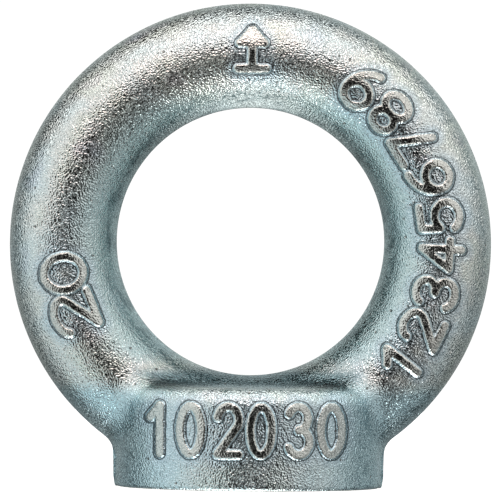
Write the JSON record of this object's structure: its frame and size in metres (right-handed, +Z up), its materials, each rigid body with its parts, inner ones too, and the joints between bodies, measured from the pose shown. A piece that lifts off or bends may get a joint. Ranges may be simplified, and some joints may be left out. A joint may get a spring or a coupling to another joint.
{
  "type": "lifting eye nut",
  "caption": "Forged steel lifting eye nut: a round-section ring on a short drum collar with a blind tapped hole underneath, for screwing onto a stud and taking a hook or shackle.",
  "frame": {"origin": "centre of the faced seat under the collar, on the thread axis", "axes": "+Z up along the thread axis from the seat to the crown of the ring; the eye looks along Y; X runs across the ring"},
  "size_m": [0.072, 0.04, 0.0723],
  "materials": {
    "eye_nut": "drop forged, shot blasted, zinc plated and blue passivated"
  },
  "bodies": {
    "root": {"eye_nut": "eye_nut"}
  },
  "joints": []
}
